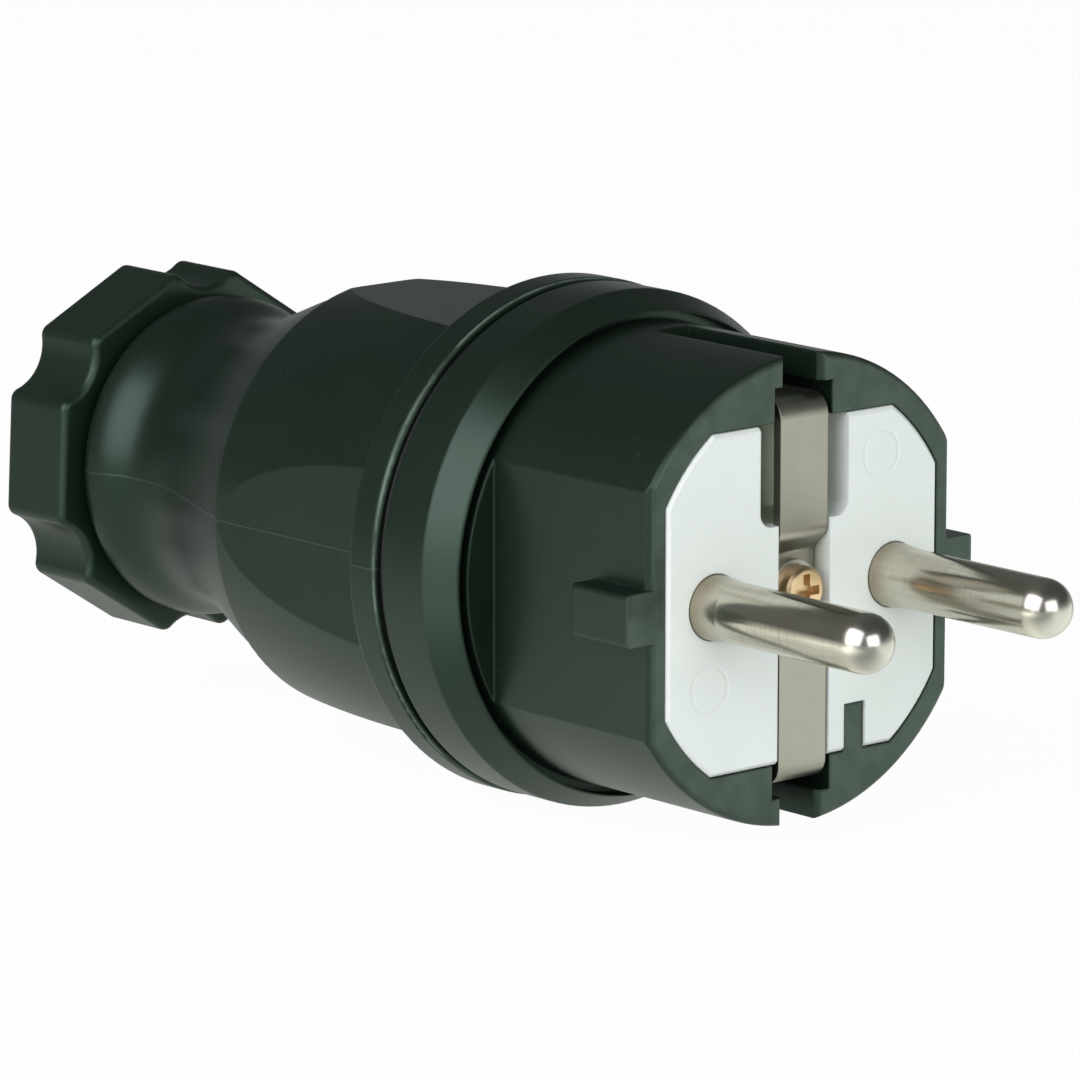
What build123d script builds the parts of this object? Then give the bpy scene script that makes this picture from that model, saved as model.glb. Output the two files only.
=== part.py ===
from build123d import *
import os

# A rewireable grounded plug: two round pins, earth contacts at the top and bottom of the sleeve,
# a moulded rear housing and a screwed cord gland. The origin is the centre of the engagement face,
# the pins point along -Y, the cord leaves along +Y, and Z runs along the earth strap.

# Line pins
pin_dia = 4.8
pin_spacing = 19.0
pin_length = 19.2           # from the engagement face to the tip
pin_root_dia = 5.2          # the pin swells a little where it leaves the carrier
pin_root_length = 2.6
pin_seat_depth = 6.0        # plain shank inside the carrier
barrel_dia = 7.0            # screw terminal behind the carrier
barrel_length = 14.0
barrel_edge = 0.4
barrel_gap = 0.2            # barrels and their screws to the sleeve

# Wire terminals, alike on both pins and on the earth block
wire_dia = 3.2
wire_depth = 9.0
terminal_seat = 3.0         # from the wire's axis down to the screw head
terminal_screw_dia = 3.0
terminal_screw_back = 4.5   # from the rear of the terminal to the screw's axis
terminal_screw_tip = 1.0    # tip below the wire's axis
terminal_head_dia = 4.8
terminal_head_height = 1.8
terminal_slot_width = 0.9
terminal_slot_depth = 0.9

# Engagement sleeve and its flange
sleeve_dia = 37.6
sleeve_flats = 32.1         # across the two side flats
flat_length = 18.5          # the flats end here, behind the engagement face
sleeve_wall = 2.1
flat_wall = 1.6
rim_setback = 0.2           # rim behind the engagement face
rim_edge = 0.5
groove_width = 0.8          # groove between the sleeve and the flange
groove_depth = 1.5
flange_height = 2.25        # above the sleeve
flange_slope = 2.9          # length of the slanting front band
flange_width = 5.1          # straight land behind the band
flange_edge = 0.5
spigot_length = 8.0
spigot_wall = 1.6
bridge_thickness = 3.0      # bar across the bore that the centre screw clamps to

# Guide ribs on the flats
rib_length = 6.4
rib_height = 2.3
rib_width = 4.2
rib_edge = 0.35

# Earth contact slots in the sleeve, at the top and the bottom
slot_mouth = 3.6
slot_width = 6.2
slot_length = 15.5
slot_edge = 0.5             # lead-in at the front of the mouth
slot_lip = 2.4              # thickness of the lips beside the mouth
slot_under = 0.4            # strap's leg to the floor of the slot
contact_drop = 1.0          # inside of the lips down to the strap's leg

# Contact carrier
carrier_height = 27.1
carrier_depth = 9.0
carrier_fit = 0.1
carrier_edge = 0.3
channel_side = 0.25         # strap to the channel's sides
recess_width = 9.4          # wider recess round the strap above the pins
recess_end = 5.5
recess_depth = 6.5
recess_round = 1.2
partition_thickness = 0.9
partition_gap = 0.5         # partition to the barrel, and to the bridge
partition_length = 12.0
partition_height = 20.0
key_offset = 5.55           # key of the sleeve in a notch of the carrier
key_width = 2.1
key_height = 3.8
key_gap = 0.1

# Earth strap
strap_thickness = 0.8
strap_width = 5.0
strap_setback = 0.1         # strap behind the engagement face
strap_leg = 13.0
strap_bend = 1.2
dip_length = 9.2            # dip for the centre screw
dip_floor = 6.2
dip_depth = 1.5
dip_bend = 0.9
leg_gap = 0.4               # clearance of the strap's bends

# Centre screw, its lock washer and the earth terminal behind the bridge
screw_dia = 3.0
screw_head_dia = 3.9
screw_head_height = 1.4
screw_cross_width = 0.7
screw_cross_length = 2.7
screw_cross_depth = 0.8
screw_hole_gap = 0.2
thread_gap = 0.05
washer_dia = 4.6
washer_thickness = 0.5
earth_block_side = 0.7      # inside the edge of the bridge
earth_block_length = 9.0
earth_block_foot = 3.0      # above the centre screw
earth_wire_offset = 6.4     # wire's axis below the centre screw
screw_engagement = 5.0      # thread length in the earth block

# Rear housing: front ring, bulb and neck in one moulding
gasket_thickness = 0.6
gasket_setback = 0.6
ring_width = 3.2
ring_proud = 0.15           # ring above the flange
ring_edge = 0.4
ring_step = 1.8             # ring down to the bulb
bulb_taper = 1.35           # bulb's radius, front to rear
bulb_length = 20.9
bulb_slope = 0.13           # fall of the bulb's side at its rear end
bulb_edge = 0.3
crease_step = 0.4
side_facet_depth = 1.45     # facets cut into the front of the bulb
top_facet_depth = 1.9
bottom_facet_depth = 3.7
facet_lean = 0.2            # facets move outwards by this much to the rear
neck_length = 23.8
flare_length = 16.6
waist_dia = 24.8
rim_dia = 27.4
rim_round = 1.6
spigot_fit = 0.1
spigot_cover = 1.2          # wall over the spigot at the deepest facet
spigot_end_gap = 0.5
housing_wall = 2.5

# Cord gland: seal, grip fingers, slip ring and nut
cord_dia = 10.0
seal_dia = 17.0
seal_fit = 0.1
seal_length = 5.4
seal_nose_wall = 1.9
seal_nose_length = 6.2
seal_edge = 0.8
seat_thickness = 2.4
seat_lip = 2.0
grip_base = 2.0
grip_finger = 5.4
grip_slots = 8
grip_slot_width = 1.2
grip_gap = 0.1
slip_thickness = 2.6
slip_wall = 1.9
slip_gap = 0.1
slip_reach = 0.75           # slip ring behind the end of the thread
thread_length = 5.7
thread_wall = 2.0
nut_thread_gap = 0.1
nut_gap = 0.4               # nut's front behind the neck's shoulder
nut_flats = 29.9
nut_hole_dia = 13.2
nut_back = 1.5
nut_scallop_dia = 7.6
nut_scallop_depth = 3.05    # below the hexagon's corner
nut_edge = 1.0
nut_round = 0.6
nut_turn = -2.9             # angle at which the nut came tight, degrees

# Derived radii
pin_x = pin_spacing / 2
sleeve_r = sleeve_dia / 2
flat_x = sleeve_flats / 2
groove_r = sleeve_r + groove_width
flange_r = sleeve_r + flange_height
ring_r = flange_r + ring_proud
bulb_front_r = ring_r - ring_step
bulb_rear_r = bulb_front_r - bulb_taper
side_half = bulb_front_r - side_facet_depth
top_half = bulb_front_r - top_facet_depth
bottom_half = bulb_front_r - bottom_facet_depth
facet_half = min(side_half, top_half, bottom_half)
spigot_r = facet_half - spigot_cover - spigot_fit
bore_r = spigot_r - spigot_wall
partition_x = pin_x - barrel_dia / 2 - partition_gap - partition_thickness / 2
bridge_half = partition_x - partition_thickness / 2 - partition_gap
carrier_r = sleeve_r - sleeve_wall - carrier_fit
carrier_x = flat_x - flat_wall - carrier_fit
carrier_z = carrier_height / 2
slot_roof = sleeve_r - slot_lip
strap_z = slot_roof - contact_drop - strap_thickness / 2
slot_floor = strap_z - strap_thickness / 2 - slot_under
washer_r = washer_dia / 2
screw_r = screw_dia / 2
seal_r = seal_dia / 2
cord_r = cord_dia / 2
seal_nose_r = cord_r + seal_nose_wall
gland_bore_r = seal_r + seal_fit
thread_r = gland_bore_r + thread_wall
nut_bore_r = thread_r + nut_thread_gap
nut_corner_r = nut_flats / 3 ** 0.5
scallop_r = nut_scallop_dia / 2

# Stations along the axis, measured back from the engagement face
flange_lip = flat_length + flange_slope
flange_rear = flange_lip + flange_width
spigot_end = flange_rear + spigot_length
bridge_rear = carrier_depth + bridge_thickness
barrel_rear = pin_seat_depth + barrel_length
earth_rear = bridge_rear + earth_block_length
dip_y = strap_setback + dip_depth
head_seat = dip_y - washer_thickness
ring_front = flange_rear + gasket_thickness
ring_rear = ring_front + ring_width
crease_y = ring_rear + bulb_length
waist_y = crease_y + flare_length
shoulder_y = crease_y + neck_length
thread_end = shoulder_y + thread_length
nut_front = shoulder_y + nut_gap
slip_rear = thread_end + slip_gap + slip_reach
slip_front = slip_rear - slip_thickness
nut_seat = slip_rear + slip_gap
nut_rear = nut_seat + nut_back
grip_rear = slip_front - slip_gap
grip_front = grip_rear - grip_finger - grip_base
seal_shoulder = grip_front - grip_gap
seal_front = seal_shoulder - seal_length
seat_front = seal_front - seat_thickness
cavity_front = spigot_end + spigot_end_gap


def station(y):
    """Plane across the axis at a distance y behind the engagement face."""
    return Plane.XZ.offset(-y)


def corner(sketch, r, y):
    """Corner of a section sketch nearest to the point (r, y)."""
    return sketch.vertices().sort_by_distance((r, y, 0))[0]


# Front sleeve: engagement sleeve, flange and threaded spigot in one moulding
with BuildPart() as front_sleeve:
    with BuildSketch(Plane.XY) as sleeve_section:
        with BuildLine():
            Polyline(
                (0, rim_setback),
                (sleeve_r, rim_setback),
                (sleeve_r, flat_length + groove_depth),
                (groove_r, flat_length + groove_depth),
                (groove_r, flat_length),
                (flange_r, flange_lip),
                (flange_r, flange_rear),
                (spigot_r, flange_rear),
                (spigot_r, spigot_end),
                (0, spigot_end),
                close=True,
            )
        make_face()
        fillet(corner(sleeve_section, sleeve_r, rim_setback), radius=rim_edge)
        fillet(corner(sleeve_section, flange_r, flange_lip), radius=flange_edge)
        fillet(corner(sleeve_section, flange_r, flange_rear), radius=flange_edge)
    revolve(axis=Axis.Y)
    # Side flats, each rounded over to the rim
    with BuildSketch(Plane.XY):
        with BuildLine():
            rim_turn = RadiusArc(
                (flat_x - rim_edge, rim_setback),
                (flat_x, rim_setback + rim_edge),
                rim_edge,
            )
            Polyline(
                rim_turn @ 1,
                (flat_x, flat_length),
                (sleeve_dia, flat_length),
                (sleeve_dia, rim_setback),
                rim_turn @ 0,
            )
        make_face()
        mirror(about=Plane.YZ)
    extrude(amount=sleeve_dia, both=True, mode=Mode.SUBTRACT)
    # Pocket for the carrier, and the bore behind it
    with BuildSketch(station(0)):
        Circle(carrier_r + carrier_fit)
        Rectangle(
            2 * (carrier_x + carrier_fit),
            carrier_height + 2 * carrier_fit,
            mode=Mode.INTERSECT,
        )
    extrude(amount=-carrier_depth, mode=Mode.SUBTRACT)
    with BuildSketch(station(carrier_depth)):
        Circle(bore_r)
    extrude(amount=-(spigot_end - carrier_depth), mode=Mode.SUBTRACT)
    # Room for the pins' barrels and their screws beside the bore
    with BuildSketch(station(pin_seat_depth)):
        with Locations((pin_x, 0), (-pin_x, 0)):
            Circle(barrel_dia / 2 + barrel_gap)
            Rectangle(
                terminal_head_dia + 2 * barrel_gap,
                terminal_seat + terminal_head_height + barrel_gap,
                align=(Align.CENTER, Align.MAX),
            )
    extrude(amount=-(barrel_length + barrel_gap), mode=Mode.SUBTRACT)
    # Bridge that the centre screw clamps the carrier to
    with BuildSketch(station(carrier_depth)):
        Circle(bore_r + spigot_wall / 2)
        Rectangle(2 * bridge_half, sleeve_dia, mode=Mode.INTERSECT)
    extrude(amount=-bridge_thickness)
    with BuildSketch(station(carrier_depth)):
        Circle(screw_r + screw_hole_gap)
    extrude(amount=-bridge_thickness, mode=Mode.SUBTRACT)
    # Earth contact slots: a wide channel under a narrower mouth, open to the carrier in front
    with BuildSketch(station(0)):
        Rectangle(slot_width, 2 * slot_roof)
        Rectangle(slot_mouth, 2 * sleeve_dia)
        Rectangle(2 * slot_width, 2 * slot_floor, mode=Mode.SUBTRACT)
    extrude(amount=-slot_length, mode=Mode.SUBTRACT)
    with BuildSketch(station(0)):
        Rectangle(slot_width, 2 * slot_roof)
        Rectangle(2 * slot_width, carrier_height, mode=Mode.SUBTRACT)
    extrude(amount=-(strap_setback + strap_thickness + leg_gap), mode=Mode.SUBTRACT)
    with BuildSketch(Plane.XY):
        with BuildLine():
            Polyline(
                (-slot_mouth / 2 - slot_edge, rim_setback),
                (slot_mouth / 2 + slot_edge, rim_setback),
                (slot_mouth / 2, rim_setback + slot_edge),
                (-slot_mouth / 2, rim_setback + slot_edge),
                close=True,
            )
        make_face()
    extrude(amount=sleeve_dia, both=True, mode=Mode.SUBTRACT)
    # Key that enters the carrier's notch
    with BuildSketch(station(rim_setback)):
        with Locations((key_offset, -carrier_z - carrier_fit)):
            Rectangle(key_width, key_height, align=(Align.CENTER, Align.MIN))
    extrude(amount=-(carrier_depth - rim_setback))
    # Guide ribs on the flats
    with BuildSketch(station(rim_setback)):
        with Locations((flat_x, 0), (-flat_x, 0)):
            Rectangle(2 * rib_height, rib_width)
        Rectangle(sleeve_flats - flat_wall, rib_width, mode=Mode.SUBTRACT)
    extrude(amount=-rib_length)
    rib_corners = (
        front_sleeve.edges()
        .filter_by(Axis.Y)
        .filter_by(lambda e: abs(abs(e.center().X) - flat_x - rib_height) < 0.01)
    )
    fillet(rib_corners, radius=rib_edge)
front_sleeve.part.label = "front_sleeve"

# Contact carrier: pale moulded insert that holds the pins and the earth strap
with BuildPart() as contact_carrier:
    with BuildSketch(station(0)):
        Circle(carrier_r)
        Rectangle(2 * carrier_x, carrier_height, mode=Mode.INTERSECT)
    extrude(amount=-carrier_depth)
    chamfer(contact_carrier.faces().sort_by(Axis.Y)[0].edges(), length=carrier_edge)
    # Channel, recess and dip for the strap
    channel_depth = strap_setback + strap_thickness
    with BuildSketch(station(0)):
        Rectangle(strap_width + 2 * channel_side, sleeve_dia)
    extrude(amount=-channel_depth, mode=Mode.SUBTRACT)
    # Room for the strap's legs
    with BuildSketch(station(0)):
        Rectangle(strap_width + 2 * channel_side, sleeve_dia)
        Rectangle(2 * strap_width, 2 * (strap_z - strap_bend), mode=Mode.SUBTRACT)
    extrude(amount=-carrier_depth, mode=Mode.SUBTRACT)
    with BuildSketch(station(0)) as recess:
        with Locations((0, recess_end)):
            Rectangle(recess_width, carrier_z, align=(Align.CENTER, Align.MIN))
        fillet(recess.vertices().group_by(Axis.Z)[0], radius=recess_round)
    extrude(amount=-recess_depth, mode=Mode.SUBTRACT)
    with BuildSketch(station(0)):
        Rectangle(strap_width + 2 * channel_side, dip_length + 2 * leg_gap)
    extrude(amount=-(dip_y + strap_thickness), mode=Mode.SUBTRACT)
    with BuildSketch(station(0)):
        Circle(screw_r + screw_hole_gap)
    extrude(amount=-carrier_depth, mode=Mode.SUBTRACT)
    # Seats of the pins: shank, then the shoulder of the barrel
    with BuildSketch(station(0)):
        with Locations((pin_x, 0), (-pin_x, 0)):
            Circle(pin_root_dia / 2 + thread_gap)
    extrude(amount=-carrier_depth, mode=Mode.SUBTRACT)
    with BuildSketch(station(pin_seat_depth)):
        with Locations((pin_x, 0), (-pin_x, 0)):
            Circle(barrel_dia / 2 + carrier_fit)
    extrude(amount=-(carrier_depth - pin_seat_depth), mode=Mode.SUBTRACT)
    # Notch for the key of the sleeve
    with BuildSketch(station(0)):
        with Locations((key_offset, -carrier_z - carrier_fit)):
            Rectangle(
                key_width + 2 * key_gap,
                key_height + key_gap,
                align=(Align.CENTER, Align.MIN),
            )
    extrude(amount=-carrier_depth, mode=Mode.SUBTRACT)
    # Partitions that keep the wires apart
    with BuildSketch(station(carrier_depth)):
        with Locations((partition_x, 0), (-partition_x, 0)):
            Rectangle(partition_thickness, partition_height)
    extrude(amount=-partition_length)
contact_carrier.part.label = "contact_carrier"

# Line pins: turned brass, nickel plated, with the screw terminal behind the carrier
with BuildPart() as line_pin_left:
    with BuildSketch(Plane.XY) as pin_section:
        with BuildLine():
            pin_nose = RadiusArc(
                (0, -pin_length),
                (pin_dia / 2, -pin_length + pin_dia / 2),
                -pin_dia / 2,
            )
            Polyline(
                pin_nose @ 1,
                (pin_dia / 2, -pin_root_length),
                (pin_root_dia / 2, 0),
                (pin_root_dia / 2, pin_seat_depth),
                (barrel_dia / 2, pin_seat_depth),
                (barrel_dia / 2, barrel_rear - barrel_edge),
                (barrel_dia / 2 - barrel_edge, barrel_rear),
                (0, barrel_rear),
                (0, -pin_length),
            )
        make_face()
    revolve(axis=Axis.Y)
    with BuildSketch(station(barrel_rear)):
        Circle(wire_dia / 2)
    extrude(amount=wire_depth, mode=Mode.SUBTRACT)
    # Flat for the screw head on the underside, then the tapped hole
    with BuildSketch(Plane.XY.offset(-terminal_seat)):
        with Locations((0, barrel_rear)):
            Rectangle(barrel_dia, wire_depth, align=(Align.CENTER, Align.MAX))
    extrude(amount=-barrel_dia, mode=Mode.SUBTRACT)
    with BuildSketch(Plane.XY):
        with Locations((0, barrel_rear - terminal_screw_back)):
            Circle(terminal_screw_dia / 2 + thread_gap)
    extrude(amount=-barrel_dia, mode=Mode.SUBTRACT)
pin_body = line_pin_left.part
line_pin_left.part = pin_body.moved(Location((-pin_x, 0, 0)))
line_pin_left.part.label = "line_pin_left"

with BuildPart() as line_pin_right:
    add(pin_body.moved(Location((pin_x, 0, 0))))
line_pin_right.part.label = "line_pin_right"

# Earth strap: one bent strip across the face, its legs are the two side contacts
with BuildPart() as earth_strap:
    strap_y = strap_setback + strap_thickness / 2
    leg_rear = strap_setback + strap_leg
    floor_y = dip_y + strap_thickness / 2
    with BuildSketch(Plane.YZ) as strap_section:
        with BuildLine():
            strap_path = FilletPolyline(
                (leg_rear, strap_z),
                (strap_y, strap_z),
                (strap_y, dip_length / 2),
                (floor_y, dip_floor / 2),
                (floor_y, -dip_floor / 2),
                (strap_y, -dip_length / 2),
                (strap_y, -strap_z),
                (leg_rear, -strap_z),
                radius=[
                    strap_bend,
                    dip_bend,
                    dip_bend,
                    dip_bend,
                    dip_bend,
                    strap_bend,
                ],
            )
        trace(line_width=strap_thickness)
    extrude(amount=strap_width / 2, both=True)
    with BuildSketch(station(0)):
        Circle(screw_r + screw_hole_gap)
    extrude(amount=-carrier_depth, mode=Mode.SUBTRACT)
earth_strap.part.label = "earth_strap"

# Earth terminal: brass block behind the bridge, pulled forward by the centre screw
with BuildPart() as earth_terminal:
    with BuildSketch(station(bridge_rear)):
        with Locations((0, earth_block_foot)):
            Rectangle(
                2 * (bridge_half - earth_block_side),
                earth_block_foot + earth_wire_offset + terminal_seat,
                align=(Align.CENTER, Align.MAX),
            )
    extrude(amount=-earth_block_length)
    chamfer(earth_terminal.edges().filter_by(Axis.Y), length=barrel_edge)
    with BuildSketch(station(bridge_rear)):
        Circle(screw_r + thread_gap)
    extrude(amount=-(screw_engagement + washer_thickness), mode=Mode.SUBTRACT)
    with BuildSketch(station(earth_rear)):
        with Locations((0, -earth_wire_offset)):
            Circle(wire_dia / 2)
    extrude(amount=earth_block_length, mode=Mode.SUBTRACT)
    with BuildSketch(Plane.XY.offset(-earth_wire_offset)):
        with Locations((0, earth_rear - terminal_screw_back)):
            Circle(terminal_screw_dia / 2 + thread_gap)
    extrude(amount=-2 * terminal_seat, mode=Mode.SUBTRACT)
earth_terminal.part.label = "earth_terminal"

# Terminal screws: three alike, with slotted cheese heads
with BuildPart() as terminal_screws:
    screw_places = [
        (-pin_x, barrel_rear - terminal_screw_back, 0),
        (pin_x, barrel_rear - terminal_screw_back, 0),
        (0, earth_rear - terminal_screw_back, -earth_wire_offset),
    ]
    with Locations(*screw_places):
        with Locations((0, 0, -terminal_screw_tip)):
            Cylinder(
                terminal_screw_dia / 2,
                terminal_seat - terminal_screw_tip,
                align=(Align.CENTER, Align.CENTER, Align.MAX),
            )
        with Locations((0, 0, -terminal_seat)):
            Cylinder(
                terminal_head_dia / 2,
                terminal_head_height,
                align=(Align.CENTER, Align.CENTER, Align.MAX),
            )
        with Locations((0, 0, -terminal_seat - terminal_head_height)):
            Box(
                terminal_head_dia,
                terminal_slot_width,
                2 * terminal_slot_depth,
                mode=Mode.SUBTRACT,
            )
terminal_screws.part.label = "terminal_screws"

# Lock washer under the centre screw's head
with BuildPart() as lock_washer:
    with BuildSketch(station(head_seat)):
        Circle(washer_r)
        Circle(screw_r + screw_hole_gap, mode=Mode.SUBTRACT)
    extrude(amount=-washer_thickness)
lock_washer.part.label = "lock_washer"

# Centre screw: brass, clamps the strap and the carrier to the bridge
with BuildPart() as centre_screw:
    with BuildSketch(station(head_seat)):
        Circle(screw_head_dia / 2)
    extrude(amount=screw_head_height)
    chamfer(
        centre_screw.faces().sort_by(Axis.Y)[0].edges(), length=screw_head_height / 5
    )
    with BuildSketch(station(head_seat)):
        Circle(screw_r)
    extrude(amount=-(bridge_rear + screw_engagement - head_seat))
    with BuildSketch(station(head_seat - screw_head_height)):
        Rectangle(screw_cross_length, screw_cross_width)
        Rectangle(screw_cross_width, screw_cross_length)
    extrude(amount=-screw_cross_depth, mode=Mode.SUBTRACT)
centre_screw.part.label = "centre_screw"

# Housing gasket between the flange and the front ring
with BuildPart() as housing_gasket:
    with BuildSketch(station(flange_rear)):
        Circle(flange_r - gasket_setback)
        Circle(spigot_r + spigot_fit, mode=Mode.SUBTRACT)
    extrude(amount=-gasket_thickness)
housing_gasket.part.label = "housing_gasket"

# Rear housing: front ring, bulb with four flat facets, flared neck and gland thread
with BuildPart() as rear_housing:
    crease_r = bulb_rear_r - crease_step
    waist_r = waist_dia / 2
    rim_r = rim_dia / 2
    flare_drop = crease_r - waist_r
    with BuildSketch(Plane.XY) as housing_section:
        with BuildLine():
            front = Polyline(
                (0, ring_front),
                (ring_r, ring_front),
                (ring_r, ring_rear),
                (bulb_front_r, ring_rear),
            )
            side_line = Spline(
                front @ 1,
                (bulb_rear_r, crease_y),
                tangents=[(0, 1), (-bulb_slope, 1)],
            )
            crease = Line(side_line @ 1, (crease_r, crease_y))
            flare = Spline(
                crease @ 1,
                (waist_r + 0.26 * flare_drop, crease_y + 0.62 * flare_length),
                (waist_r, waist_y),
                tangents=[(-flare_drop, 1.05 * flare_length), (0, 1)],
            )
            swell = Spline(
                flare @ 1,
                (rim_r, shoulder_y - rim_round),
                tangents=[(0, 1), (0, 1)],
            )
            lip = RadiusArc(
                swell @ 1, (rim_r - rim_round, shoulder_y), -rim_round
            )
            Polyline(
                lip @ 1,
                (thread_r, shoulder_y),
                (thread_r, thread_end),
                (0, thread_end),
                (0, ring_front),
            )
        make_face()
        fillet(corner(housing_section, ring_r, ring_front), radius=ring_edge)
        fillet(corner(housing_section, ring_r, ring_rear), radius=ring_edge)
        fillet(corner(housing_section, bulb_rear_r, crease_y), radius=bulb_edge)
    revolve(axis=Axis.Y)
    # Flat facets at the sides, the top and the bottom of the bulb, leaning out to the rear
    facets = [
        (Plane.XY, 1, side_half),
        (Plane.XY, -1, side_half),
        (Plane.ZY, 1, top_half),
        (Plane.ZY, -1, bottom_half),
    ]
    for facet_plane, side, facet_front in facets:
        with BuildSketch(facet_plane):
            with BuildLine():
                Polyline(
                    (side * facet_front, ring_rear),
                    (side * (facet_front + facet_lean), crease_y),
                    (side * (facet_front + facet_lean), waist_y),
                    (side * 2 * ring_r, waist_y),
                    (side * 2 * ring_r, ring_rear),
                    close=True,
                )
            make_face()
        extrude(amount=2 * ring_r, both=True, mode=Mode.SUBTRACT)
    # Inside: spigot bore, wiring space, seat of the seal and gland bore
    with BuildSketch(Plane.XY) as housing_cavity:
        with BuildLine():
            cavity_r = facet_half - housing_wall
            throat_r = waist_r - housing_wall
            Polyline(
                (0, ring_front),
                (spigot_r + spigot_fit, ring_front),
                (spigot_r + spigot_fit, cavity_front),
                (cavity_r, cavity_front),
                (cavity_r, crease_y - housing_wall),
                (throat_r, seat_front),
                (gland_bore_r - seat_lip, seat_front),
                (gland_bore_r - seat_lip, seal_front),
                (gland_bore_r, seal_front),
                (gland_bore_r, thread_end),
                (0, thread_end),
                close=True,
            )
        make_face()
    revolve(axis=Axis.Y, mode=Mode.SUBTRACT)
rear_housing.part.label = "rear_housing"

# Cord seal: rubber bush with a nose inside the grip fingers
with BuildPart() as cord_seal:
    nose_rear = seal_shoulder + seal_nose_length
    with BuildSketch(Plane.XY):
        with BuildLine():
            Polyline(
                (cord_r, seal_front + seal_edge),
                (cord_r + seal_edge, seal_front),
                (seal_r, seal_front),
                (seal_r, seal_shoulder),
                (seal_nose_r, seal_shoulder),
                (seal_nose_r, nose_rear),
                (cord_r + seal_edge, nose_rear),
                (cord_r, nose_rear - seal_edge),
                close=True,
            )
        make_face()
    revolve(axis=Axis.Y)
cord_seal.part.label = "cord_seal"

# Cord grip: ring of fingers that the nut presses on the seal
with BuildPart() as cord_grip:
    with BuildSketch(station(grip_front)):
        Circle(seal_r)
        Circle(seal_nose_r + grip_gap, mode=Mode.SUBTRACT)
    extrude(amount=-(grip_base + grip_finger))
    with BuildSketch(station(grip_front + grip_base)):
        with PolarLocations(seal_r, grip_slots):
            Rectangle(seal_dia / 2, grip_slot_width)
    extrude(amount=-grip_finger, mode=Mode.SUBTRACT)
cord_grip.part.label = "cord_grip"

# Slip ring: turns against the nut so that the fingers are pressed without twisting
with BuildPart() as slip_ring:
    with BuildSketch(station(slip_front)):
        Circle(seal_r)
        Circle(seal_r - slip_wall, mode=Mode.SUBTRACT)
    extrude(amount=-slip_thickness)
slip_ring.part.label = "slip_ring"

# Gland nut: hexagon with scalloped corners and rounded ends
with BuildPart() as gland_nut:
    with BuildSketch(station(nut_front)) as nut_outline:
        RegularPolygon(nut_flats / 2, 6, major_radius=False, rotation=30 + nut_turn)
        scallop_place = nut_corner_r - nut_scallop_depth + scallop_r
        with PolarLocations(scallop_place, 6, start_angle=30 + nut_turn):
            Circle(scallop_r, mode=Mode.SUBTRACT)
        fillet(nut_outline.vertices(), radius=nut_edge)
    extrude(amount=-(nut_rear - nut_front))
    fillet(gland_nut.faces().filter_by(Axis.Y).edges(), radius=nut_round)
    with BuildSketch(station(nut_front)):
        Circle(nut_bore_r)
    extrude(amount=-(nut_seat - nut_front), mode=Mode.SUBTRACT)
    with BuildSketch(station(nut_seat)):
        Circle(nut_hole_dia / 2)
    extrude(amount=-nut_back, mode=Mode.SUBTRACT)
gland_nut.part.label = "gland_nut"

os.makedirs("parts", exist_ok=True)
export_step(front_sleeve.part, "parts/front_sleeve.step")
export_step(contact_carrier.part, "parts/contact_carrier.step")
export_step(line_pin_left.part, "parts/line_pin_left.step")
export_step(line_pin_right.part, "parts/line_pin_right.step")
export_step(earth_strap.part, "parts/earth_strap.step")
export_step(earth_terminal.part, "parts/earth_terminal.step")
export_step(terminal_screws.part, "parts/terminal_screws.step")
export_step(lock_washer.part, "parts/lock_washer.step")
export_step(centre_screw.part, "parts/centre_screw.step")
export_step(housing_gasket.part, "parts/housing_gasket.step")
export_step(rear_housing.part, "parts/rear_housing.step")
export_step(cord_seal.part, "parts/cord_seal.step")
export_step(cord_grip.part, "parts/cord_grip.step")
export_step(slip_ring.part, "parts/slip_ring.step")
export_step(gland_nut.part, "parts/gland_nut.step")
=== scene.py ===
import bpy
import math
import numpy as np
from mathutils import Matrix, Vector


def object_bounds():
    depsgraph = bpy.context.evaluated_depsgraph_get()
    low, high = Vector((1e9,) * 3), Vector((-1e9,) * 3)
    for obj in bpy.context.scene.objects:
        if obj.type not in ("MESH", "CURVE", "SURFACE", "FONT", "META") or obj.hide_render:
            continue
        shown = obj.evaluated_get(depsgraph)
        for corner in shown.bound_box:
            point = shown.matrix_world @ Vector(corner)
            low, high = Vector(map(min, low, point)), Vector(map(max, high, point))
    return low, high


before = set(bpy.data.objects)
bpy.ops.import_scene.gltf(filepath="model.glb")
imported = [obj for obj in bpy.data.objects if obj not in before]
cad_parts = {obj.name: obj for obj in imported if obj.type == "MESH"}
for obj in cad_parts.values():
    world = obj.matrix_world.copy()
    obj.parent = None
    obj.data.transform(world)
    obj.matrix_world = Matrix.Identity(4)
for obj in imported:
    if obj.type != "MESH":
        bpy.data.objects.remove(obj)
cad_low, cad_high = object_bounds()


# Front sleeve: the dark moulded cup that enters the socket, with two flats, guide ribs and a flange.
# Satin thermoplastic, near black with a green cast, moulded in one shot and screwed to the housing.
# Its rim is rubbed grey in patches by use. Lengths in the finishes are in millimetres.
moulding_deep = (0.0033, 0.0074, 0.0042)
moulding_light = (0.0056, 0.0118, 0.0068)
moulding_gloss = (0.68, 1.0, 0.81, 1.0)
# Grey of scuffs and dust, also used for a painted highlight line on the housing's ring.
scuff_and_sheen_tone = (0.115, 0.15, 0.128)
rim_back = 0.5


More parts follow.
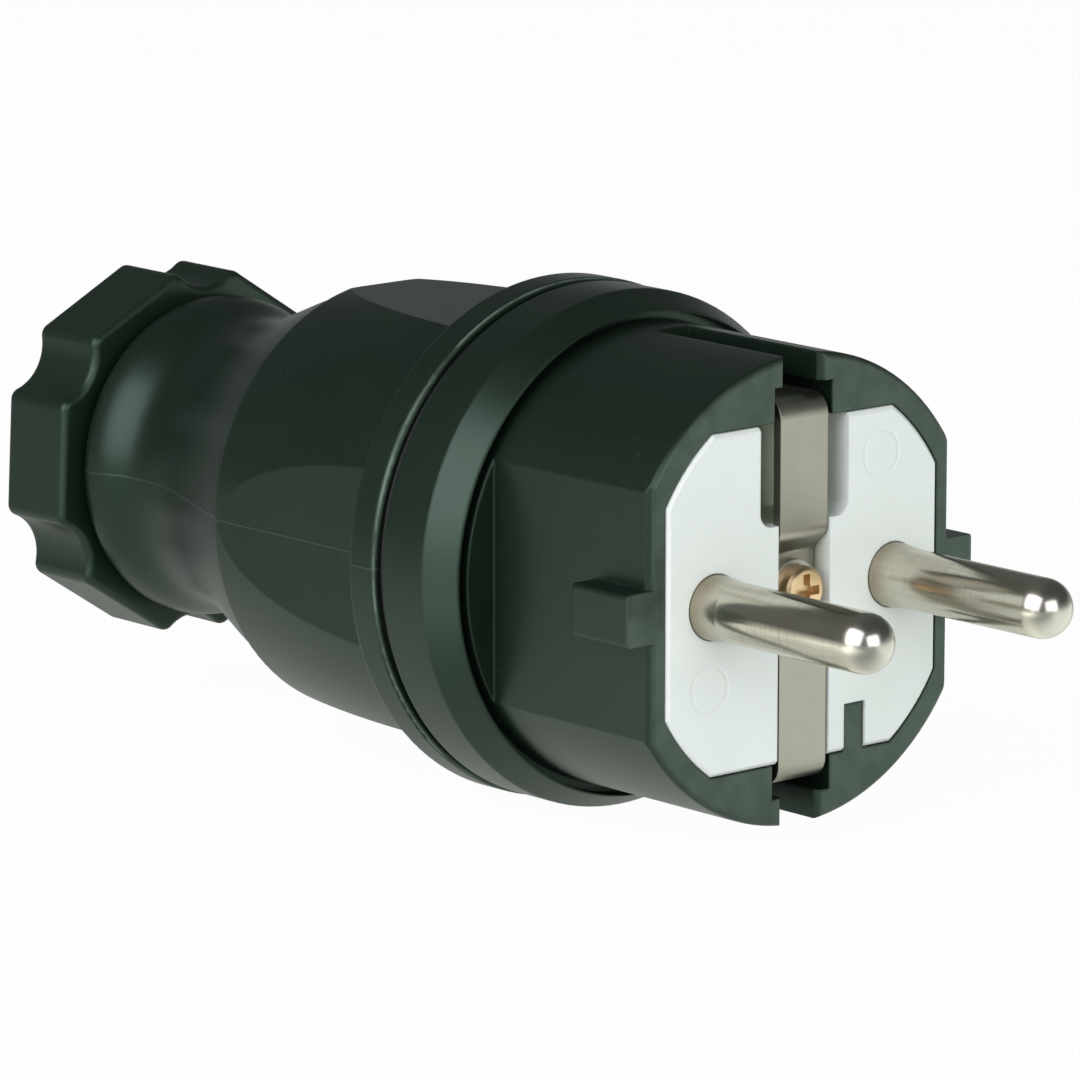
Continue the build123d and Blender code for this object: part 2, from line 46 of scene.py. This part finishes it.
class Tone:
    """A node socket that does sums: arithmetic on it adds Math nodes, and node() adds any other node."""

    def __init__(self, tree, socket=None):
        self.tree = tree
        self.socket = socket

    def node(self, kind, settings, sockets, out=0):
        """Adds a node, applies its settings, then gives each socket its value or its link."""
        made = self.tree.nodes.new(kind)
        for name, value in settings.items():
            setattr(made, name, value)
        for name, value in sockets.items():
            if isinstance(value, Tone):
                self.tree.links.new(value.socket, made.inputs[name])
            else:
                made.inputs[name].default_value = value
        return Tone(self.tree, made.outputs[out] if made.outputs else None)

    def __add__(self, other):
        return self.node("ShaderNodeMath", {"operation": "ADD"}, {0: self, 1: other})

    __radd__ = __add__

    def __mul__(self, other):
        return self.node("ShaderNodeMath", {"operation": "MULTIPLY"}, {0: self, 1: other})

    __rmul__ = __mul__

    def __sub__(self, other):
        return self.node("ShaderNodeMath", {"operation": "SUBTRACT"}, {0: self, 1: other})

    def __rsub__(self, other):
        return self.node("ShaderNodeMath", {"operation": "SUBTRACT"}, {0: other, 1: self})

    def __abs__(self):
        return self.node("ShaderNodeMath", {"operation": "ABSOLUTE"}, {0: self})


def new_finish(name):
    """An empty material and the start of its node tree."""
    finish = bpy.data.materials.new(name)
    finish.use_nodes = True
    finish.node_tree.nodes.clear()
    return finish, Tone(finish.node_tree)


def in_millimetres(start):
    """The piece's own Object coordinates, times a thousand."""
    place = start.node("ShaderNodeTexCoord", {}, {}, out="Object")
    return start.node("ShaderNodeVectorMath", {"operation": "SCALE"}, {0: place, "Scale": 1000.0})


def axis_of(place, letter):
    """One coordinate of a place."""
    return place.node("ShaderNodeSeparateXYZ", {}, {0: place}, out=letter)


def shifted(place, offset):
    """A place moved by an offset."""
    return place.node("ShaderNodeVectorMath", {"operation": "ADD"}, {0: place, 1: offset})


def stretched(place, factors):
    """A place with each coordinate times its own factor."""
    return place.node("ShaderNodeVectorMath", {"operation": "MULTIPLY"}, {0: place, 1: factors})


def fade(value, low, high):
    """Smooth step from 0 at low to 1 at high."""
    return value.node(
        "ShaderNodeMapRange",
        {"interpolation_type": "SMOOTHSTEP"},
        {"Value": value, "From Min": low, "From Max": high, "To Min": 0.0, "To Max": 1.0},
    )


def grain(place, scale, detail=2.0):
    """Noise from 0 to 1 with so many cells to a millimetre."""
    return place.node("ShaderNodeTexNoise", {}, {"Vector": place, "Scale": scale, "Detail": detail})


def tint(amount, first, second):
    """Colour that goes from first to second with amount. Each is three numbers, or a socket."""
    ends = [end if isinstance(end, Tone) else (*end, 1.0) for end in (first, second)]
    return amount.node("ShaderNodeMix", {"data_type": "RGBA"}, {0: amount, 6: ends[0], 7: ends[1]}, out=2)


def raised(height, depth_mm, strength, edge_mm):
    """Normal of a surface with this height, in units of the depth, on edges rounded by edge_mm."""
    eased = height.node("ShaderNodeBevel", {"samples": 4}, {"Radius": edge_mm / 1000.0})
    return height.node(
        "ShaderNodeBump",
        {},
        {"Height": height, "Strength": strength, "Distance": depth_mm / 1000.0, "Normal": eased},
    )


def painted(finish, start, sockets):
    """Ends a material with one Principled shader that takes these sockets."""
    shader = start.node("ShaderNodeBsdfPrincipled", {}, sockets)
    start.node("ShaderNodeOutputMaterial", {}, {"Surface": shader})
    return finish


def dress(node, finish):
    """Puts a material on a CAD node."""
    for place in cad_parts[node].material_slots:
        place.material = finish


def satin_moulding(name, shift, pale=1.0, rub=None, relief=None):
    """Near-black satin moulding: faint mottling, fine mould grain and a few specks of dust, paler by a
    factor. A piece's own rub adds to how grey the surface is worn and to its painted highlights, and its own
    relief adds to the height."""
    finish, start = new_finish(name)
    place = in_millimetres(start)
    moved = shifted(place, (shift, 0.0, shift))
    cloud = grain(moved, 0.12, 3.0)
    pebble = grain(moved, 5.0)
    rubbed_and_sheen = fade(grain(moved, 1.6), 0.70, 0.78) * 0.12
    height = pebble * 0.35
    if rub is not None:
        rubbed_and_sheen = rubbed_and_sheen + rub(place, moved)
    if relief is not None:
        height = height + relief(place)
    deep = [pale * part for part in moulding_deep]
    light = [pale * part for part in moulding_light]
    return painted(finish, start, {
        "Base Color": tint(rubbed_and_sheen, tint(cloud, deep, light), scuff_and_sheen_tone),
        "Roughness": 0.33 + pebble * 0.05,
        "Specular IOR Level": 0.5,
        "Specular Tint": moulding_gloss,
        "Normal": raised(height, 0.02, 0.5, 0.30),
    })


def rim_rub(place, moved):
    """Patches on the rim's face, which ends at rim_back."""
    patches = 0.15 + fade(grain(moved, 0.5, 4.0), 0.30, 0.70) * 0.18
    return (1.0 - fade(axis_of(place, "Y"), rim_back - 0.4, rim_back)) * patches


dress("front_sleeve", satin_moulding("satin_sleeve", 3.0, rub=rim_rub))

# Contact carrier: the pale insert that holds the pins and the strap, pushed into the sleeve's mouth.
# Moulded thermoset with a faint green-grey tone; the ejector pins have left shallow round marks.
# The hollow under the strap is painted darker as shade, except on its right wall.
insert_deep = (0.68, 0.74, 0.70)
insert_light = (0.75, 0.81, 0.77)
hollow_shade_tone = (0.50, 0.54, 0.43)
hollow_right = 4.4
ejector_marks = [(8.2, 9.95), (-9.9, -6.5)]
ejector_radius = 1.85


def distance_from_axis(place):
    """How far a place is from the Y axis, which is the plug's own."""
    flat = stretched(place, (1.0, 0.0, 1.0))
    return place.node("ShaderNodeVectorMath", {"operation": "LENGTH"}, {0: flat}, out="Value")


def pale_moulding(name):
    """Pale satin moulding: soft mottling, very fine grain, shallow ejector rings and painted shade in the
    hollow.
    """
    finish, start = new_finish(name)
    place = in_millimetres(start)
    cloud = grain(place, 0.15, 3.0)
    pebble = grain(place, 7.0)
    rings = 0.0
    for x, z in ejector_marks:
        reach = distance_from_axis(shifted(place, (-x, 0.0, -z)))
        rings = rings + (1.0 - fade(abs(reach - ejector_radius), 0.04, 0.28))
    # Painted shade: the insert turns darker deeper than its face, left of the hollow's right wall.
    left_of_wall = 1.0 - fade(axis_of(place, "X"), hollow_right - 1.4, hollow_right)
    hollow_shade = fade(axis_of(place, "Y"), 0.3, 1.8) * left_of_wall
    return painted(finish, start, {
        "Base Color": tint(hollow_shade, tint(cloud, insert_deep, insert_light), hollow_shade_tone),
        "Roughness": 0.34 + cloud * 0.10 + pebble * 0.06,
        "Normal": raised(pebble * 0.25 - rings * 3.0, 0.02, 0.6, 0.20),
    })


dress("contact_carrier", pale_moulding("pale_insert"))

# Line pins: turned brass with a bright nickel plate, pressed into the carrier from behind.
# The lathe has left fine rings round the shank, and use has left warm streaks along it.
# The round nose is smooth and a little duller; the root is painted darker and browner as contact shade.
plate_bright = (0.64, 0.605, 0.515)
plate_warm = (0.35, 0.295, 0.22)
nose_tone = (0.40, 0.39, 0.355)
pin_offset = 9.5
nose_centre = -16.8
nose_start = -17.5


def nose_direction(place):
    """Outward direction on the pins' round noses: from the centre of each nose to the place."""
    across = axis_of(place, "X")
    side = place.node("ShaderNodeMath", {"operation": "SIGN"}, {0: across})
    outward = place.node("ShaderNodeCombineXYZ", {}, {
        "X": across - side * pin_offset,
        "Y": axis_of(place, "Y") - nose_centre,
        "Z": axis_of(place, "Z"),
    })
    return place.node(
        "ShaderNodeVectorTransform",
        {"vector_type": "NORMAL", "convert_from": "OBJECT", "convert_to": "WORLD"},
        {0: outward},
    )


def turned_nickel(name):
    """Bright nickel over turning marks, with warm streaks that fade in and out and a root painted darker as
    contact shade.
    """
    finish, start = new_finish(name)
    place = in_millimetres(start)
    along = axis_of(place, "Y")
    nose = 1.0 - fade(along, nose_start - 0.8, nose_start + 0.2)
    shank = fade(along, nose_start, nose_start + 2.0)
    marks = grain(stretched(place, (0.15, 4.5, 0.15)), 1.0, 3.0)
    scratches = fade(marks, 0.48, 0.70) * shank
    streaks = fade(grain(stretched(place, (1.7, 0.12, 1.7)), 1.0), 0.42, 0.72) * shank
    haze = grain(place, 0.5, 3.0)
    # Painted contact shade: darker and browner towards the root, where the pin enters the carrier.
    root = fade(along + haze * 1.6, -2.4, 0.8)
    warm = start.node(
        "ShaderNodeMath", {"operation": "MAXIMUM"}, {0: streaks * 0.4 + scratches * 0.22, 1: root * 0.9}
    )
    turned = raised(marks * shank, 0.006, 0.5, 0.10)
    return painted(finish, start, {
        "Base Color": tint(nose * 0.9, tint(warm, plate_bright, plate_warm), nose_tone),
        "Metallic": 1.0,
        "Roughness": 0.21 - shank * 0.05 + haze * 0.04 + warm * 0.10,
        "Normal": start.node(
            "ShaderNodeMix", {"data_type": "VECTOR"}, {0: nose, 4: turned, 5: nose_direction(place)}, out=1
        ),
    })


pin_finish = turned_nickel("turned_nickel")
dress("line_pin_left", pin_finish)
dress("line_pin_right", pin_finish)

# Earth strap: one strip of plated brass, punched and bent, laid across the face into the sleeve's slots.
# Satin nickel with fine lines along the strip from rolling.
strap_deep = (0.265, 0.259, 0.220)
strap_light = (0.335, 0.326, 0.282)


def rolled_nickel(name):
    """Satin nickel with fine scratches along Z."""
    finish, start = new_finish(name)
    place = in_millimetres(start)
    lines = grain(stretched(place, (9.0, 9.0, 0.25)), 1.0, 3.0)
    haze = grain(place, 0.35, 3.0)
    return painted(finish, start, {
        "Base Color": tint(haze, strap_deep, strap_light),
        "Metallic": 1.0,
        "Roughness": 0.30 + haze * 0.08 + lines * 0.08,
        "Normal": raised(lines, 0.008, 0.4, 0.10),
    })


dress("earth_strap", rolled_nickel("rolled_nickel"))

# Centre screw and earth terminal: bright brass, turned and left bare.
# The screw clamps the strap and the carrier to the bar in the sleeve and pulls the terminal forward.
brass_tarnished = (0.54, 0.37, 0.20)
brass_bright = (0.72, 0.56, 0.36)


def bare_brass(name):
    """Bare turned brass with light tarnish."""
    finish, start = new_finish(name)
    place = in_millimetres(start)
    tarnish = grain(place, 1.4, 3.0)
    marks = grain(place, 9.0)
    return painted(finish, start, {
        "Base Color": tint(tarnish, brass_tarnished, brass_bright),
        "Metallic": 1.0,
        "Roughness": 0.24 + tarnish * 0.12,
        "Normal": raised(marks, 0.006, 0.4, 0.10),
    })


brass_finish = bare_brass("bare_brass")
dress("centre_screw", brass_finish)
dress("earth_terminal", brass_finish)

# Lock washer and terminal screws: zinc-plated steel fasteners.
# The washer sits under the centre screw's head, the three screws hold the wires.
zinc_deep = (0.46, 0.46, 0.45)
zinc_light = (0.56, 0.56, 0.54)


def zinc_plate(name):
    """Zinc plate with a faint spangle."""
    finish, start = new_finish(name)
    place = in_millimetres(start)
    spangle = grain(place, 2.5, 3.0)
    return painted(finish, start, {
        "Base Color": tint(spangle, zinc_deep, zinc_light),
        "Metallic": 1.0,
        "Roughness": 0.28 + spangle * 0.14,
        "Normal": raised(spangle, 0.006, 0.3, 0.05),
    })


zinc_finish = zinc_plate("zinc_plate")
dress("lock_washer", zinc_finish)
dress("terminal_screws", zinc_finish)

# Housing gasket and cord seal: black rubber, moulded.
# The gasket lies between the flange and the housing's ring, the seal is squeezed on the cord by the nut.
rubber_deep = (0.012, 0.013, 0.012)
rubber_bloom = (0.024, 0.025, 0.023)


def matt_rubber(name):
    """Matt black rubber with a dry bloom."""
    finish, start = new_finish(name)
    place = in_millimetres(start)
    bloom = grain(place, 0.5, 3.0)
    fine = grain(place, 6.0)
    return painted(finish, start, {
        "Base Color": tint(bloom, rubber_deep, rubber_bloom),
        "Roughness": 0.62 + bloom * 0.15,
        "Normal": raised(fine, 0.02, 0.5, 0.15),
    })


rubber_finish = matt_rubber("matt_rubber")
dress("housing_gasket", rubber_finish)
dress("cord_seal", rubber_finish)

# Rear housing: ring, bulb with flat facets and flared neck, one moulding with its parting line at the sides.
# Same satin material as the sleeve, with scuffs and a painted highlight line at the ring's front edge.
# The gland's thread is cut on the spigot behind the neck and shows when the nut is turned out.
seam_z = 0.25
ring_front = 27.25
ring_radius = 21.1
thread_start = 75.0
thread_radius = 10.6
thread_pitch = 1.5


def parting_line(place):
    """Thin line along both sides, where the two halves of the mould met."""
    return 1.0 - fade(abs(axis_of(place, "Z") - seam_z), 0.03, 0.12)


def ring_edge_sheen(place):
    """Thin band round the ring's front edge, where a highlight line is painted."""
    near = 1.0 - fade(abs(axis_of(place, "Y") - ring_front), 0.02, 0.12)
    return near * fade(distance_from_axis(place), ring_radius - 0.3, ring_radius)


def gland_thread(place):
    """Right-handed thread: a triangle wave along Y that goes on by one pitch with each turn round the axis,
    on the spigot's outer surface only."""
    along = axis_of(place, "Y")
    reach = distance_from_axis(place)
    angle = place.node(
        "ShaderNodeMath", {"operation": "ARCTAN2"}, {0: axis_of(place, "X"), 1: axis_of(place, "Z")}
    )
    turns = along * (1.0 / thread_pitch) - angle * (0.5 / math.pi)
    wave = place.node("ShaderNodeMath", {"operation": "PINGPONG"}, {0: turns, 1: 0.5})
    behind = fade(along, thread_start, thread_start + 0.3)
    outer = fade(reach, thread_radius - 0.3, thread_radius - 0.1)
    inner = 1.0 - fade(reach, thread_radius + 0.1, thread_radius + 0.3)
    return wave * 2.0 * behind * outer * inner


def housing_rub_and_sheen(place, moved):
    """Pale parting line, and scuffs with a painted highlight along the ring's edge."""
    patches = fade(grain(moved, 0.25, 3.0), 0.30, 0.60)
    # Painted highlight: the ring's edge band is paler in patches, on top of its scuffs.
    return parting_line(place) * 0.12 + ring_edge_sheen(place) * patches * 0.8


def housing_relief(place):
    """Parting line that stands a little proud, and the thread."""
    return parting_line(place) * 1.6 + gland_thread(place) * 22.0


dress("rear_housing", satin_moulding("satin_housing", 11.0, rub=housing_rub_and_sheen, relief=housing_relief))

# Cord grip and slip ring: inside the gland, moulded in black polyamide.
# The grip's fingers close on the cord, the slip ring lets the nut turn without twisting them.
gland_finish = satin_moulding("gland_moulding", 23.0)
dress("cord_grip", gland_finish)
dress("slip_ring", gland_finish)

# Gland nut: hexagon with scalloped corners, turned by hand on the housing's thread.
# Same satin material as the housing, a little paler.
dress("gland_nut", satin_moulding("satin_nut", 31.0, pale=1.5))

# Stage: a plain white floor under the rings, which keeps a soft shadow.
# It looks white to the camera; in reflections it is brightest in front of the two panels and dims behind.
floor_z = cad_low.z
floor_half = 3.0
floor_white = (1.0, 1.0, 1.0)
floor_in_gloss = (0.95, 1.0, 0.92)
floor_matt = (0.92, 0.92, 0.92, 1.0)
floor_mesh = bpy.data.meshes.new("floor")
floor_corners = np.array([[-1, -1], [1, -1], [1, 1], [-1, 1]]) * floor_half
floor_mesh.from_pydata([(x, y, floor_z) for x, y in floor_corners], [], [(0, 1, 2, 3)])
floor = bpy.data.objects.new("floor", floor_mesh)
bpy.context.scene.collection.objects.link(floor)
paper, start = new_finish("white_paper")
seen = start.node("ShaderNodeLightPath", {}, {}, out="Is Camera Ray")
mirrored = start.node("ShaderNodeLightPath", {}, {}, out="Is Glossy Ray")
through = start.node("ShaderNodeLightPath", {}, {}, out="Is Transmission Ray")
matt = start.node("ShaderNodeBsdfDiffuse", {}, {"Color": floor_matt})
place = in_millimetres(start)
ahead = axis_of(place, "Y")
beside = axis_of(place, "X")
right_near = fade(ahead, -150.0, -60.0) * 0.3 + 0.7
right_glow = fade(beside, -25.0, 25.0) * (1.0 - fade(ahead, -30.0, 12.0)) * right_near
left_near = (1.0 - fade(ahead, 20.0, 70.0)) * fade(ahead, -90.0, -30.0)
left_glow = (1.0 - fade(beside, -75.0, -30.0)) * left_near
falling = fade(ahead, -50.0, -5.0) * 0.35 + 0.65 - fade(ahead, 50.0, 170.0) * 0.55
table = falling * 0.85 + right_glow * 1.5 + left_glow * 1.6
toned = start.node("ShaderNodeVectorMath", {"operation": "SCALE"}, {0: floor_in_gloss, "Scale": table})
glow = start.node("ShaderNodeEmission", {}, {"Color": tint(mirrored, floor_white, toned), "Strength": 1.0})
turned_white = seen * 0.97 + mirrored * 0.75 + through * 0.97
mixed = start.node("ShaderNodeMixShader", {}, {0: turned_white, 1: matt, 2: glow})
start.node("ShaderNodeOutputMaterial", {}, {"Surface": mixed})
floor_mesh.materials.append(paper)

# Light: a dim room, pale low down on the right, with a large soft panel on each side of the camera.
# The dim room above keeps the upper faces of the dark mouldings deep, while the floor lights the lower ones.
room_dim = (0.115, 0.125, 0.12)
room_pale = (0.80, 0.83, 0.81)
pale_top = -0.10
dim_start = 0.32
panel_target = (0.0, 0.03, 0.0)
room = bpy.data.worlds.new("white_surround")
room.use_nodes = True
room.node_tree.nodes.clear()
start = Tone(room.node_tree)
heading = start.node("ShaderNodeTexCoord", {}, {}, out="Generated")
above = fade(axis_of(heading, "Z"), pale_top, dim_start)
on_right = fade(axis_of(heading, "X"), -0.40, 0.20)
surround = tint(on_right * (1.0 - above), room_dim, room_pale)
lit = start.node("ShaderNodeBackground", {}, {"Color": surround, "Strength": 1.0})
start.node("ShaderNodeOutputWorld", {}, {"Surface": lit})
bpy.context.scene.world = room


def soft_panel(name, place, width, height, power, colour):
    """Area lamp of this colour at a place, which faces the panels' target."""
    lamp = bpy.data.lights.new(name, "AREA")
    lamp.shape = "RECTANGLE"
    lamp.size = width
    lamp.size_y = height
    lamp.energy = power
    lamp.color = colour
    panel = bpy.data.objects.new(name, lamp)
    aim = (Vector(panel_target) - Vector(place)).to_track_quat("-Z", "Y")
    panel.matrix_world = Matrix.Translation(Vector(place)) @ aim.to_matrix().to_4x4()
    bpy.context.scene.collection.objects.link(panel)


soft_panel("left_panel", (-0.615, -0.035, 0.330), 0.80, 0.68, 6.2, (1.0, 0.965, 1.03))
soft_panel("right_panel", (-0.100, -0.680, 0.220), 0.56, 0.44, 2.8, (1.0, 1.0, 1.0))

# Camera: a long lens from the left and a little above, at the photograph's angle.
# Its focal length is given in pixels of the photograph.
camera_turn = math.radians(-41.108)
camera_rise = math.radians(11.686)
camera_roll = math.radians(0.046)
camera_distance = 0.600
camera_target = Vector((-0.009944, 0.020, 0.002258))
picture_width = 1080.0
focal_pixels = 7579.7
sensor_width = 36.0
backward = Vector((
    math.sin(camera_turn) * math.cos(camera_rise),
    -math.cos(camera_turn) * math.cos(camera_rise),
    math.sin(camera_rise),
))
sideways = Vector((0.0, 0.0, 1.0)).cross(backward).normalized()
upward = backward.cross(sideways)
right = math.cos(camera_roll) * sideways + math.sin(camera_roll) * upward
up = math.cos(camera_roll) * upward - math.sin(camera_roll) * sideways
photo_camera = bpy.data.cameras.new("photo_camera")
photo_camera.sensor_fit = "HORIZONTAL"
photo_camera.sensor_width = sensor_width
photo_camera.lens = focal_pixels / picture_width * sensor_width
photo_camera.clip_start = 0.01
camera = bpy.data.objects.new("photo_camera", photo_camera)
turned = Matrix((right, up, backward)).transposed().to_4x4()
camera.matrix_world = Matrix.Translation(camera_target + backward * camera_distance) @ turned
bpy.context.scene.collection.objects.link(camera)
bpy.context.scene.camera = camera
bpy.context.scene.view_settings.view_transform = "Standard"
